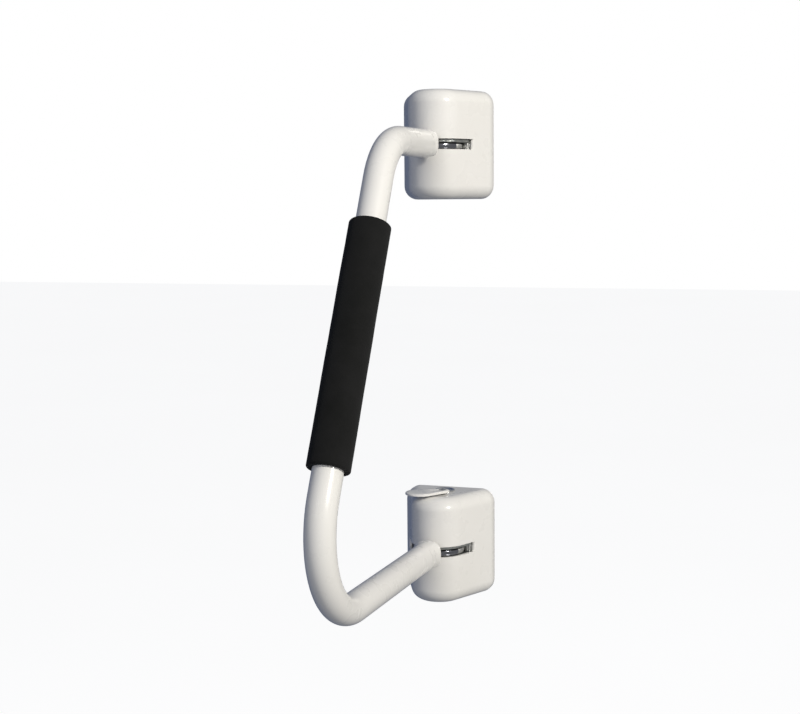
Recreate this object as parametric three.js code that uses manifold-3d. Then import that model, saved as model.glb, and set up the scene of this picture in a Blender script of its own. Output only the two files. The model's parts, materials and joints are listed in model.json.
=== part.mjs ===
// Swing-away entrance rail for a door side: a bent grab rail with a foam grip, carried between two
// D-shaped wall housings. Millimetres, +Z up. The wall is the plane Y = 0 and the rail stands out
// towards -Y. The origin is the middle of the lower housing's back; the pivot axis is parallel to Z.
import * as THREE from 'three';
import { ConvexGeometry } from 'three/addons/geometries/ConvexGeometry.js';
import { mergeVertices } from 'three/addons/utils/BufferGeometryUtils.js';
import Module from 'manifold-3d';

const wasm = await Module();
wasm.setup();

// ---- driving dimensions ----
const GAP = 0.3; // clearance between pieces that touch
const FAR = 60; // reach of a cutter past what it cuts
const PIVOT_OUT = 40; // pivot axis to wall
const SPACING = 373; // lower to upper housing centre

const HOUSING = { height: 99, halfWidth: 42.75, nose: 26.5, sideDepth: 8.5, fillet: 12.5, wall: 2.5 };
const SLOT = { height: 9.4, outer: { x: 33.32, out: 30 }, inner: { x: 29.45, out: 32.6 } }; // sloped ends
const GASKET = 1; // sealing sheet behind each housing
const REAR = -(GASKET + GAP); // back plane of housings and brackets

const TUBE = { radius: 12.5, bore: 10.5 };
const RAIL = { upperOut: 139, lowerOut: 335.5, upperBend: 60, lowerBend: 68.5, endOut: 44 };
const GRIP = { radius: 17.5, bore: 12.8, start: 42.3, length: 208 };

const HUB = { radius: 23.3, top: 0.4, bottom: -4.2, bore: 6.2 };
const TONGUE = { halfWidth: 7, end: 66 };
const CAP = { face: 29.5, flare: 0.44, halfWidth: 13.5, halfHeight: 12, round: 1.3, plugEnd: 56 };
const PIN = { radius: 4, headRadius: 6.5 };
const YOKE = { inset: 3.2, thickness: 3, upper: 1.6, lower: -8.4 }; // bottoms of the two yoke plates
const BUSH = { flange: 11, thickness: 0.6 };
const SPACER = { x: 25.8, y: -27.5, radius: 5, rivet: 2.2, head: 3.4 };
const PLATE = { halfWidth: 36, halfHeight: 40, thickness: 3 };
const TAB = { halfWidth: 23, thickness: 2.5, upperReach: 7.2, lowerReach: 18 }; // they hold the housing
const SCREW = { head: 3.6, neck: 1.8, thread: 1.9, hole: 2.2, length: 11 }; // countersunk, neck is its depth

const LOCK = { back: 22, radius: 8.5, flange: 9.5, plug: 6.2, bottom: 31 };
const NUT = { corner: 12.4, thickness: 4 };
const BOLT = { radius: 3, travel: 6, tip: 1.2, top: 25.5, play: 0.5 };
const CROSS_PIN = { z: 21, radius: 1.2, hole: 1.5, slot: 1.7, length: 13 };
const CAM = { radius: 7, bottom: 10.5, steps: 7 };
const COVER = { pivotX: 3, toLock: 17, lobe: 13.5, boss: 6.5, reach: 23, thickness: 2.7, openDeg: 222 };

const TOP = HOUSING.height / 2;
const LOCK_HOLE_RADIUS = PIVOT_OUT - LOCK.back; // hub holes that the bolt drops into
const COVER_PIVOT_Y = -LOCK.back - Math.sqrt(COVER.toLock ** 2 - COVER.pivotX ** 2);

// ---- finishes ----
const finish = (color, roughness, metalness) => (
  new THREE.MeshStandardMaterial({ color, roughness, metalness }));
const paint = () => finish(0xebe9e4, 0.22, 0);
const foam = () => finish(0x202020, 0.95, 0);
const chrome = () => finish(0xd8dadc, 0.12, 1);
const zinc = () => finish(0xb4b6b4, 0.4, 1);
const nylon = () => finish(0xe4e2da, 0.5, 0);
const rubber = () => finish(0x3c3c3c, 0.8, 0);

// ---- helpers ----
const rail = new THREE.Group();

function toSolid(geometry) {
  const bare = geometry.index ? geometry.toNonIndexed() : geometry.clone();
  bare.deleteAttribute('normal');
  bare.deleteAttribute('uv');
  const merged = mergeVertices(bare, 1e-4);
  return new wasm.Manifold(new wasm.Mesh({
    numProp: 3,
    vertProperties: new Float32Array(merged.attributes.position.array),
    triVerts: new Uint32Array(merged.index.array),
  }));
}

function toGeometry(solid) {
  const mesh = solid.getMesh();
  const geometry = new THREE.BufferGeometry();
  geometry.setAttribute('position', new THREE.BufferAttribute(mesh.vertProperties, 3));
  geometry.setIndex(new THREE.BufferAttribute(mesh.triVerts, 1));
  geometry.computeVertexNormals();
  return geometry;
}

const join = (...geometries) => geometries.map(toSolid).reduce((all, next) => all.add(next));
const cut = (solid, ...geometries) => (
  geometries.map(toSolid).reduce((all, next) => all.subtract(next), solid));

function add(name, shape, material, z = 0) {
  const mesh = new THREE.Mesh(shape.isBufferGeometry ? shape : toGeometry(shape), material);
  mesh.name = name;
  mesh.position.z = z;
  rail.add(mesh);
  return mesh;
}

function box(x0, x1, y0, y1, z0, z1) {
  const geometry = new THREE.BoxGeometry(x1 - x0, y1 - y0, z1 - z0);
  return geometry.translate((x0 + x1) / 2, (y0 + y1) / 2, (z0 + z1) / 2);
}

// Upright cylinder about (x, y) from z0 to z1.
function rod(radius, x, y, z0, z1, sides = 16) {
  const geometry = new THREE.CylinderGeometry(radius, radius, z1 - z0, sides);
  return geometry.rotateX(Math.PI / 2).translate(x, y, (z0 + z1) / 2);
}

// A turned piece about the upright line through (x, y), from [radius, z] corners.
function turned(corners, x, y, sides = 18) {
  const profile = corners.map(([r, z]) => new THREE.Vector2(r, z));
  return new THREE.LatheGeometry(profile, sides).rotateX(Math.PI / 2).translate(x, y, 0);
}

// A turned ring, as the closed profile between two radii.
function ring(inner, outer, x, y, z0, z1, sides = 18) {
  return turned([[inner, z0], [outer, z0], [outer, z1], [inner, z1], [inner, z0]], x, y, sides);
}

// A flat plate of the given outline in the XY plane, from z0 to z1.
function plate(shape, z0, z1, curveSegments = 10) {
  const geometry = new THREE.ExtrudeGeometry(shape, { depth: z1 - z0, bevelEnabled: false, curveSegments });
  return geometry.translate(0, 0, z0);
}

// ---- housings ----
// Plan of a housing, drawn in by inset: straight back and sides, then flanks that meet the round nose
// on their tangents. The nose is concentric with the pivot. The back runs behind the wall to be cut.
function housingPlan(inset) {
  const { halfWidth, nose, sideDepth } = HOUSING;
  const toCorner = Math.atan2(PIVOT_OUT - sideDepth, halfWidth);
  const tangent = toCorner - Math.acos(nose / Math.hypot(halfWidth, PIVOT_OUT - sideDepth));
  const side = halfWidth - inset;
  const radius = nose - inset;
  const cornerY = (radius - side * Math.cos(tangent)) / Math.sin(tangent) - PIVOT_OUT;
  const shape = new THREE.Shape();
  shape.moveTo(side, FAR / 2);
  shape.lineTo(-side, FAR / 2);
  shape.lineTo(-side, cornerY);
  shape.absarc(0, -PIVOT_OUT, radius, Math.PI - tangent, 2 * Math.PI + tangent, false);
  shape.lineTo(side, cornerY);
  return shape;
}

function housingBlock(inset) {
  const round = HOUSING.fillet - inset;
  const depth = HOUSING.height - 2 * HOUSING.fillet;
  const options = { depth, bevelThickness: round, bevelSize: round, bevelOffset: -round,
    bevelSegments: 4, curveSegments: 7 };
  return new THREE.ExtrudeGeometry(housingPlan(inset), options).translate(0, 0, -depth / 2);
}

const COVER_SCREWS = [['left', -20], ['right', 20]].map(([side, x]) => ({ side, x, y: -13 }));

// The arm's slot runs round the nose. Its ends slope, which keeps them clear of the folded tongue.
function slotCutter() {
  const { outer, inner } = SLOT;
  const slope = (inner.out - outer.out) / (outer.x - inner.x);
  const right = [[FAR, -outer.out + slope * (FAR - outer.x)], [outer.x, -outer.out], [inner.x, -inner.out]];
  const left = right.map(([x, y]) => [-x, y]).reverse();
  const outline = [...right, ...left, [-FAR, -2 * FAR], [FAR, -2 * FAR]].map(([x, y]) => new THREE.Vector2(x, y));
  return plate(new THREE.Shape(outline), -SLOT.height / 2, SLOT.height / 2);
}

function housingShell() {
  const behind = box(-FAR, FAR, REAR, FAR, -FAR, FAR);
  const { head, neck, hole } = SCREW;
  const screwHoles = COVER_SCREWS.map(({ x, y }) => turned([[0, -TOP - 1], [head + GAP + 1, -TOP - 1],
    [hole, -TOP + neck + GAP], [hole, -TOP + 5], [0, -TOP + 5]], x, y, 16));
  return cut(toSolid(housingBlock(0)), housingBlock(HOUSING.wall), behind, slotCutter(), ...screwHoles);
}

function gasketSheet() {
  const [x, z, r] = [HOUSING.halfWidth - GAP, TOP - GAP, HOUSING.fillet];
  const shape = new THREE.Shape();
  shape.moveTo(-x + r, -z);
  shape.absarc(x - r, -z + r, r, -Math.PI / 2, 0);
  shape.absarc(x - r, z - r, r, 0, Math.PI / 2);
  shape.absarc(-x + r, z - r, r, Math.PI / 2, Math.PI);
  shape.absarc(-x + r, -z + r, r, Math.PI, 1.5 * Math.PI);
  const sheet = plate(shape, 0, GASKET, 4).rotateX(Math.PI / 2);
  return cut(toSolid(sheet), ...wallHoles());
}

// Four fixing holes for wall screws, through gasket and bracket.
function wallHoles() {
  const places = [[-28, -30], [28, -30], [-28, 30], [28, 30]];
  return places.map(([x, z]) => rod(2.75, x, -z, -FAR, FAR, 10).rotateX(Math.PI / 2));
}

// One plate of the yoke, with the housing's own plan drawn in so that it slides inside.
const yokePlate = (z0) => plate(housingPlan(YOKE.inset), z0, z0 + YOKE.thickness, 10);

const SPACERS = [['left', -SPACER.x], ['right', SPACER.x]].map(([side, x]) => ({ side, x, y: SPACER.y }));

// Steel bracket: wall plate, two yoke plates for the pivot pin and two tabs that hold the housing.
function bracket(hasLock) {
  const { halfWidth, halfHeight, thickness } = PLATE;
  const tabTop = TOP - HOUSING.wall - GAP;
  const tab = (reach, z0, z1) => box(-TAB.halfWidth, TAB.halfWidth, REAR - reach, REAR, z0, z1);
  const solid = join(
    box(-halfWidth, halfWidth, REAR - thickness, REAR, -halfHeight, halfHeight),
    yokePlate(YOKE.upper), yokePlate(YOKE.lower),
    tab(TAB.upperReach, tabTop - TAB.thickness, tabTop),
    tab(TAB.lowerReach, -tabTop, TAB.thickness - tabTop),
    tab(thickness, -tabTop, tabTop),
  );
  const holes = [rod(PIN.radius + GAP, 0, -PIVOT_OUT, -FAR, FAR), ...wallHoles()];
  holes.push(box(-FAR, FAR, REAR, FAR, -FAR, FAR));
  SPACERS.forEach(({ x, y }) => holes.push(rod(SPACER.rivet + GAP, x, y, -FAR / 2, FAR / 2, 12)));
  COVER_SCREWS.forEach(({ x, y }) => holes.push(rod(SCREW.hole, x, y, -TOP, -halfHeight, 12)));
  if (hasLock) holes.push(rod(BOLT.radius + GAP, 0, -LOCK.back, 0, FAR));
  return cut(solid, ...holes);
}

function pivotPin() {
  const top = YOKE.upper + YOKE.thickness + GAP;
  const groove = YOKE.lower - 1;
  return turned([
    [0, groove - 4], [3.4, groove - 4], [PIN.radius, groove - 3.4], [PIN.radius, groove - 1.6],
    [3.2, groove - 1.6], [3.2, groove], [PIN.radius, groove], [PIN.radius, top],
    [PIN.headRadius, top], [PIN.headRadius, top + 2.6], [5.6, top + 3.4], [0, top + 3.4],
  ], 0, -PIVOT_OUT);
}

function circlip() {
  const groove = YOKE.lower - 1;
  const clip = toSolid(ring(3.5, 6.6, 0, -PIVOT_OUT, groove - 1.3, groove - GAP));
  return cut(clip, box(-1.8, 1.8, -PIVOT_OUT, 0, -FAR, FAR));
}

// Shouldered rivet that holds the yoke plates apart and stops the tongue at the end of its swing.
function spacer({ x, y }) {
  const [low, high] = [YOKE.lower + YOKE.thickness + GAP, YOKE.upper - GAP];
  const [under, over] = [YOKE.lower - GAP, YOKE.upper + YOKE.thickness + GAP];
  const { rivet, radius, head } = SPACER;
  return turned([[0, under - 1], [head, under - 1], [head, under], [rivet, under], [rivet, low],
    [radius, low], [radius, high], [rivet, high], [rivet, over], [head, over], [head, over + 1],
    [0, over + 1]], x, y, 16);
}

function coverScrew({ x, y }) {
  const face = -TOP + GAP / 3;
  const { head, neck, thread, length } = SCREW;
  return turned([[0, face], [head, face], [thread, face + neck], [thread, face + length - 1.4],
    [0, face + length]], x, y, 16);
}

// ---- rail ----
// Hub disc that turns on the pivot pin, with the tongue that runs through the slot into the tube.
function hub(hasLock) {
  const disc = rod(HUB.radius, 0, -PIVOT_OUT, HUB.bottom, HUB.top, 36);
  const tongue = box(-TONGUE.halfWidth, TONGUE.halfWidth, -PIVOT_OUT - TONGUE.end, -PIVOT_OUT - 15,
    HUB.bottom, HUB.top);
  const holes = [rod(HUB.bore, 0, -PIVOT_OUT, -FAR, FAR)];
  const boltHole = (dx, dy) => rod(BOLT.radius + BOLT.play, dx, dy - PIVOT_OUT, -FAR, FAR, 16);
  const r = LOCK_HOLE_RADIUS;
  if (hasLock) holes.push(boltHole(0, r), boltHole(r, 0), boltHole(-r, 0));
  return cut(join(disc, tongue), ...holes);
}

// Flanged half bush between hub and pin, its flange under (or over) the hub.
function bush(isTop) {
  const [inner, outer, flange] = [PIN.radius + GAP, HUB.bore - GAP, BUSH.flange];
  const middle = (HUB.top + HUB.bottom) / 2;
  const side = isTop ? 1 : -1;
  const face = isTop ? HUB.top : HUB.bottom;
  const [seat, inside] = [face + side * GAP, middle + side * GAP / 2];
  const outside = seat + side * BUSH.thickness;
  const corners = [[inner, inside], [outer, inside], [outer, seat], [flange, seat], [flange, outside],
    [inner, outside], [inner, inside]];
  return turned(isTop ? corners : corners.reverse(), 0, -PIVOT_OUT);
}

// Section of an end cap: a closed curve between an ellipse (power 2) and a rounded box, at a distance
// out from the pivot that grows by flare towards the sides.
function capSection(halfWidth, halfHeight, power, out, flare) {
  return Array.from({ length: 24 }, (_, i) => {
    const angle = i * Math.PI / 12;
    const bulge = (value) => Math.sign(value) * Math.abs(value) ** (2 / power);
    const x = halfWidth * bulge(Math.cos(angle));
    return new THREE.Vector3(x, -PIVOT_OUT - out - flare * Math.abs(x), halfHeight * bulge(Math.sin(angle)));
  });
}

// Cap on a tube end. Its blunt face is swept back to both sides, so that the rail clears the housing's
// flank when it is folded.
function endCap() {
  const [seat, plug] = [RAIL.endOut - GAP, TUBE.bore - GAP];
  const { face, flare, halfWidth, halfHeight, round, plugEnd } = CAP;
  const head = new ConvexGeometry([
    ...capSection(halfWidth - round, halfHeight - round, 3, face, flare),
    ...capSection(halfWidth, halfHeight, 3, face + round, flare),
    ...capSection(TUBE.radius, TUBE.radius, 2, seat, 0),
  ]);
  const stem = new THREE.CylinderGeometry(plug, plug, plugEnd - seat + 5, 20);
  const slot = box(-TONGUE.halfWidth - GAP, TONGUE.halfWidth + GAP, -2 * FAR, 0,
    HUB.bottom - GAP, HUB.top + GAP);
  return cut(join(head, stem.translate(0, -PIVOT_OUT - (plugEnd + seat - 5) / 2, 0)), slot);
}

// A point of the rail's plane, from its distance out from the pivot and its height.
const inPlane = (out, z) => new THREE.Vector3(0, -PIVOT_OUT - out, z);
const CORNER_UP = inPlane(RAIL.upperOut, SPACING);
const CORNER_LOW = inPlane(RAIL.lowerOut, 0);

class Bend extends THREE.Curve {
  constructor(from, corner, to, radius) {
    super();
    const before = from.clone().sub(corner).normalize();
    const after = to.clone().sub(corner).normalize();
    this.turn = Math.PI - before.angleTo(after);
    this.setback = radius * Math.tan(this.turn / 2);
    this.start = corner.clone().addScaledVector(before, this.setback);
    this.end = corner.clone().addScaledVector(after, this.setback);
    const inward = before.clone().add(after).normalize();
    this.centre = corner.clone().addScaledVector(inward, radius / Math.cos(this.turn / 2));
    this.axis = new THREE.Vector3().crossVectors(after, before).normalize();
  }

  getPoint(t) {
    const spoke = this.start.clone().sub(this.centre).applyAxisAngle(this.axis, t * this.turn);
    return spoke.add(this.centre);
  }
}

const UPPER_BEND = new Bend(inPlane(0, SPACING), CORNER_UP, CORNER_LOW, RAIL.upperBend);
const LOWER_BEND = new Bend(CORNER_UP, CORNER_LOW, inPlane(0, 0), RAIL.lowerBend);

// The rail's centre line. Its stations are spent on the bends, because the straights need none.
class RailPath extends THREE.Curve {
  constructor(parts) {
    super();
    this.route = new THREE.CurvePath();
    parts.forEach(([curve]) => this.route.add(curve));
    const ends = this.route.getCurveLengths();
    this.stations = [0];
    parts.forEach(([, count], i) => {
      const start = i ? ends[i - 1] : 0;
      for (let k = 1; k <= count; k += 1) this.stations.push(start + (ends[i] - start) * k / count);
    });
    this.steps = this.stations.length - 1;
  }

  getPoint(u) {
    const place = Math.min(u * this.steps, this.steps - 1e-9);
    const k = Math.floor(place);
    const length = THREE.MathUtils.lerp(this.stations[k], this.stations[k + 1], place - k);
    return this.route.getPoint(length / this.stations.at(-1));
  }

  getPointAt(u) { return this.getPoint(u); }
  getTangentAt(u) { return this.getTangent(u); }
}

function handleTube() {
  const path = new RailPath([
    [new THREE.LineCurve3(inPlane(RAIL.endOut, SPACING), UPPER_BEND.start), 1], [UPPER_BEND, 6],
    [new THREE.LineCurve3(UPPER_BEND.end, LOWER_BEND.start), 1], [LOWER_BEND, 10],
    [new THREE.LineCurve3(LOWER_BEND.end, inPlane(RAIL.endOut, 0)), 1],
  ]);
  const section = new THREE.Shape().absarc(0, 0, TUBE.radius, 0, 2 * Math.PI);
  section.holes.push(new THREE.Path().absarc(0, 0, TUBE.bore, 0, 2 * Math.PI));
  return new THREE.ExtrudeGeometry(section, { steps: path.steps, extrudePath: path, curveSegments: 10 });
}

// Foam sleeve on the straight part, placed from the end of the upper bend.
function addFoamGrip() {
  const along = LOWER_BEND.start.clone().sub(UPPER_BEND.end).normalize();
  const sleeve = ring(GRIP.bore, GRIP.radius, 0, 0, 0, GRIP.length).rotateX(Math.PI);
  const mesh = add('foam_grip', sleeve, foam());
  mesh.position.copy(UPPER_BEND.end).addScaledVector(along, GRIP.start);
  mesh.quaternion.setFromUnitVectors(new THREE.Vector3(0, 0, -1), along);
}

// ---- lock ----
const FLANGE_TOP = TOP + GAP + 1.1;
const COVER_LOW = FLANGE_TOP + GAP;

function lockBody() {
  const bore = LOCK.plug + GAP;
  return turned([[bore, LOCK.bottom], [LOCK.radius, LOCK.bottom], [LOCK.radius, TOP + GAP],
    [LOCK.flange, TOP + GAP], [LOCK.flange, FLANGE_TOP - 0.3], [LOCK.flange - 0.5, FLANGE_TOP],
    [bore, FLANGE_TOP], [bore, LOCK.bottom]], 0, -LOCK.back, 28);
}

function lockPlug() {
  const low = LOCK.bottom + GAP;
  const plug = turned([[0, low - 3.8], [3.1, low - 3.8], [3.1, low], [LOCK.plug, low],
    [LOCK.plug, FLANGE_TOP - 0.2], [0, FLANGE_TOP - 0.2]], 0, -LOCK.back, 24);
  return cut(toSolid(plug), box(-1.1, 1.1, -LOCK.back - 4, -LOCK.back + 4, FLANGE_TOP - 5, FAR));
}

function lockNut() {
  const hex = new THREE.Shape();
  const corners = Array.from({ length: 6 }, (_, i) => i * Math.PI / 3);
  const corner = (a) => [NUT.corner * Math.cos(a), NUT.corner * Math.sin(a)];
  corners.forEach((a, i) => hex[i ? 'lineTo' : 'moveTo'](...corner(a)));
  hex.holes.push(new THREE.Path().absarc(0, 0, LOCK.radius + GAP, 0, 2 * Math.PI));
  const under = TOP - HOUSING.wall - GAP;
  return plate(hex, under - NUT.thickness, under, 12).translate(0, -LOCK.back, 0);
}

// Sleeve on the plug's tail. Two helical slots turn a quarter turn of the key into the bolt's travel.
function camSleeve() {
  const sleeve = ring(BOLT.radius + 0.4, CAM.radius, 0, -LOCK.back, CAM.bottom, LOCK.bottom - GAP);
  const cutters = Array.from({ length: CAM.steps + 1 }, (_, k) => {
    const share = k / CAM.steps;
    const cutter = new THREE.CylinderGeometry(CROSS_PIN.slot, CROSS_PIN.slot, FAR / 2, 8);
    cutter.rotateZ(Math.PI / 2 * (1 - share));
    return cutter.translate(0, -LOCK.back, CROSS_PIN.z - BOLT.travel * share);
  });
  return cut(toSolid(sleeve), ...cutters);
}

const crossRod = (radius, length) => new THREE.CylinderGeometry(radius, radius, length, 12)
  .rotateZ(Math.PI / 2).translate(0, -LOCK.back, CROSS_PIN.z);

function lockBolt() {
  const bolt = turned([[0, BOLT.tip], [2.2, BOLT.tip], [BOLT.radius, BOLT.tip + 0.8],
    [BOLT.radius, BOLT.top], [0, BOLT.top]], 0, -LOCK.back, 20);
  return cut(toSolid(bolt), crossRod(CROSS_PIN.hole, FAR / 2));
}

// Swivel dust cover: a round lobe over the key slot, joined to a smaller boss on its pivot screw.
function lockCover() {
  const spread = Math.acos((COVER.lobe - COVER.boss) / COVER.reach);
  const shape = new THREE.Shape();
  shape.absarc(COVER.reach, 0, COVER.lobe, -Math.PI + spread, Math.PI - spread, false);
  shape.absarc(0, 0, COVER.boss, Math.PI - spread, Math.PI + spread, false);
  const round = 0.7;
  const geometry = new THREE.ExtrudeGeometry(shape, { depth: COVER.thickness - 2 * round,
    bevelThickness: round, bevelSize: round, bevelOffset: -round, bevelSegments: 2, curveSegments: 9 });
  geometry.translate(0, 0, round);
  const sink = rod(3.6, 0, 0, COVER.thickness - 1.4, FAR);
  return cut(toSolid(geometry), rod(2.3, 0, 0, -FAR, FAR), sink);
}

function coverPivotScrew() {
  const top = COVER_LOW + COVER.thickness;
  return turned([[0, TOP - 8], [2, TOP - 8], [2, top - 1.1], [3.3, top - 1.1], [3.3, top - 0.2],
    [2.8, top], [0, top]], COVER.pivotX, COVER_PIVOT_Y, 20);
}

// ---- assembly ----
function addWallUnit(name, z, hasLock) {
  const lockHoles = [rod(LOCK.radius + GAP, 0, -LOCK.back, TOP - 5, TOP + 5, 32),
    rod(2.3, COVER.pivotX, COVER_PIVOT_Y, TOP - 5, TOP + 5)];
  const shell = housingShell();
  add(`${name}_housing`, hasLock ? cut(shell, ...lockHoles) : shell, paint(), z);
  add(`${name}_gasket`, gasketSheet(), rubber(), z);
  add(`${name}_bracket`, bracket(hasLock), zinc(), z);
  add(`${name}_pivot_pin`, pivotPin(), zinc(), z);
  add(`${name}_circlip`, circlip(), zinc(), z);
  SPACERS.forEach((each) => add(`${name}_spacer_${each.side}`, spacer(each), chrome(), z));
  COVER_SCREWS.forEach((screw) => add(`${name}_screw_${screw.side}`, coverScrew(screw), zinc(), z));
}

function addRailEnd(name, z, hasLock) {
  add(`${name}_hub`, hub(hasLock), chrome(), z);
  add(`${name}_bush_top`, bush(true), nylon(), z);
  add(`${name}_bush_bottom`, bush(false), nylon(), z);
  add(`${name}_end_cap`, endCap(), paint(), z);
}

function addLock() {
  add('lock_body', lockBody(), chrome());
  add('lock_plug', lockPlug(), chrome());
  add('lock_nut', lockNut(), zinc());
  add('lock_cam_sleeve', camSleeve(), zinc());
  add('lock_cross_pin', crossRod(CROSS_PIN.radius, CROSS_PIN.length), zinc());
  add('lock_bolt', lockBolt(), zinc());
  const cover = add('lock_cover', lockCover(), paint());
  cover.position.set(COVER.pivotX, COVER_PIVOT_Y, COVER_LOW);
  cover.rotation.z = THREE.MathUtils.degToRad(COVER.openDeg);
  add('lock_cover_screw', coverPivotScrew(), zinc());
}

for (const [name, z, hasLock] of [['upper', SPACING, false], ['lower', 0, true]]) {
  addWallUnit(name, z, hasLock);
  addRailEnd(name, z, hasLock);
}
add('handle_tube', handleTube(), paint());
addFoamGrip();
addLock();

export default rail;
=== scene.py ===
# %% [markdown]
# # A swing-away entrance rail in painted metal, foam and chrome
# The object is a bent grab rail that stands beside a door. Its ends turn in two D-shaped wall housings,
# so that the rail can be swung flat against the wall and locked there. The mechanical design is loaded
# first, as a fixed frame that says where every part is. This lesson then gives each part the surface
# that a maker would see: sprayed gloss paint, closed-cell foam, chrome plate and zinc plate.

# %% Load the frame
import json
import math
import bmesh
import bpy
from mathutils import Matrix, Vector, noise


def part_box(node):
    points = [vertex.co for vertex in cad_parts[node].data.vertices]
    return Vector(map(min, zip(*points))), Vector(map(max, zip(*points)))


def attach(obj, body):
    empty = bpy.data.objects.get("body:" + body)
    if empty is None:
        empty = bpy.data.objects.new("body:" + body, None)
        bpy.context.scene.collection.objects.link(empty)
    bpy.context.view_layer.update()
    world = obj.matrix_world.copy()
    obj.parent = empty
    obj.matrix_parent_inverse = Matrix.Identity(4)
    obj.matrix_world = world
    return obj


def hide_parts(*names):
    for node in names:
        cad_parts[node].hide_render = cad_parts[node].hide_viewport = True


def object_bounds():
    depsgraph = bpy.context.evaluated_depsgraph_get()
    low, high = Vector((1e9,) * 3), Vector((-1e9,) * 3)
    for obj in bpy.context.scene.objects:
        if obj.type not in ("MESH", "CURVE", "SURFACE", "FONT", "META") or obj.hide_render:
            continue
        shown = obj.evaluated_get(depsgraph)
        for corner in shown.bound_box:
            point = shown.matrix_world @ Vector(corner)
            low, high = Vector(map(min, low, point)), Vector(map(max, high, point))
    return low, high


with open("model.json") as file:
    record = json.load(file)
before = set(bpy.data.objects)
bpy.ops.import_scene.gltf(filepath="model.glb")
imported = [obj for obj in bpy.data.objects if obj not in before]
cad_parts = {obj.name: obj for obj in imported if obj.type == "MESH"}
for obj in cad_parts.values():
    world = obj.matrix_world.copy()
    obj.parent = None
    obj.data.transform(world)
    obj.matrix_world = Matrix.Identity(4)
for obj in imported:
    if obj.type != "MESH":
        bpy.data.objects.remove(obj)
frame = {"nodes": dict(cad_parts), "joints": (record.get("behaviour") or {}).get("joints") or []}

CAD_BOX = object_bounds()
MM = 0.001
print("object box in mm:", [[round(v / MM, 1) for v in corner] for corner in CAD_BOX])

# %% [markdown]
# ## The camera comes first
# A camera placed early gives every later piece something to be judged by. This one stands 1.4 m away,
# a little to the right of the rail and just below the upper housing, and looks slightly down. A lens
# of 67 mm on a full-frame sensor keeps the perspective gentle: both housings look nearly the same size.

# %% Place the camera
CAMERA_AT = Vector((0.42275, -1.34391, 0.32196))
LENS_MM, SENSOR_MM = 66.954, 36.0
TURN_LEFT, LOOK_DOWN, TILT = 0.3393, 0.1042, 0.0089      # radians


def place_camera():
    data = bpy.data.cameras.new("camera")
    data.lens, data.sensor_width, data.sensor_fit = LENS_MM, SENSOR_MM, "HORIZONTAL"
    data.clip_start, data.clip_end = 0.01, 100.0
    camera = bpy.data.objects.new("camera", data)
    bpy.context.scene.collection.objects.link(camera)
    aim = Matrix.Rotation(TURN_LEFT, 4, "Z") @ Matrix.Rotation(math.pi / 2 - LOOK_DOWN, 4, "X")
    camera.matrix_world = Matrix.Translation(CAMERA_AT) @ aim @ Matrix.Rotation(-TILT, 4, "Z")
    bpy.context.scene.camera = camera
    return camera


print("camera at", tuple(round(v, 3) for v in place_camera().location))

# %% [markdown]
# ## A short way to build node trees
# Materials and Geometry Nodes are both trees of nodes. One small function adds any node, sets its options
# and fills its inputs, either with a value or with a link from another node's output. Colours are given
# as the hex values that a paint chart would use and turned to linear light by one function.

# %% Node and colour helpers
def srgb(code):
    """A hex colour such as #EDEAE2 as linear red, green, blue and alpha."""
    channels = [int(code[i:i + 2], 16) / 255 for i in (1, 3, 5)]
    linear = [c / 12.92 if c <= 0.04045 else ((c + 0.055) / 1.055) ** 2.4 for c in channels]
    return (*linear, 1.0)


def node(tree, kind, settings=None, inputs=None):
    """Adds one node. Inputs are keyed by socket name or number; a socket as value makes a link."""
    made = tree.nodes.new(kind)
    for name, value in (settings or {}).items():
        setattr(made, name, value)
    for key, value in (inputs or {}).items():
        if isinstance(value, bpy.types.NodeSocket):
            tree.links.new(value, made.inputs[key])
        else:
            made.inputs[key].default_value = value
    return made


def new_material(name, **shader):
    """A material with one Principled shader, whose constant values sit on its own sockets."""
    material = bpy.data.materials.new(name)
    material.use_nodes = True
    tree = material.node_tree
    tree.nodes.clear()
    surface = node(tree, "ShaderNodeBsdfPrincipled", inputs={
        key.replace("_", " "): value for key, value in shader.items()})
    node(tree, "ShaderNodeOutputMaterial", inputs={"Surface": surface.outputs[0]})
    place = node(tree, "ShaderNodeTexCoord").outputs["Object"]
    return material, tree, surface, place


def per_metre(size_mm):
    """Noise scale that gives features of about this size on a surface measured in metres."""
    return 1 / (size_mm * MM)


def grain(tree, place, size_mm, detail=3.0, roughness=0.5):
    """Noise with features of a real size."""
    return node(tree, "ShaderNodeTexNoise", inputs={
        "Vector": place, "Scale": per_metre(size_mm), "Detail": detail, "Roughness": roughness})


def between(tree, amount, low, high, start=0.3, end=0.7):
    """A ramp from one colour to another over the middle of a noise."""
    ramp = node(tree, "ShaderNodeValToRGB", inputs={"Fac": amount})
    for element, at, colour in zip(ramp.color_ramp.elements, (start, end), (low, high)):
        element.position, element.color = at, colour
    return ramp.outputs["Color"]


def spread(tree, amount, low, high):
    """A noise value moved to the range from low to high."""
    return node(tree, "ShaderNodeMapRange", inputs={
        "Value": amount, "From Min": 0.3, "From Max": 0.7, "To Min": low, "To Max": high}).outputs[0]


def bump(tree, surface, height, depth_mm, strength=1.0, after=None):
    inputs = {"Height": height, "Distance": depth_mm * MM, "Strength": strength}
    if after:
        inputs["Normal"] = after
    made = node(tree, "ShaderNodeBump", inputs=inputs)
    tree.links.new(made.outputs[0], surface.inputs["Normal"])
    return made.outputs[0]


print("helpers ready; white paint in linear light:", [round(c, 3) for c in srgb("#EDEAE2")[:3]])

# %% [markdown]
# ## Gloss powder coat
# Rail and housings are sprayed with a warm white powder that melts into a thick, glossy skin. Such a skin
# is never quite flat: it keeps a shallow ripple a few millimetres long, called orange peel, which breaks
# the edges of reflections. Handling leaves a faint haze, so roughness drifts a little from place to place.

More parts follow.
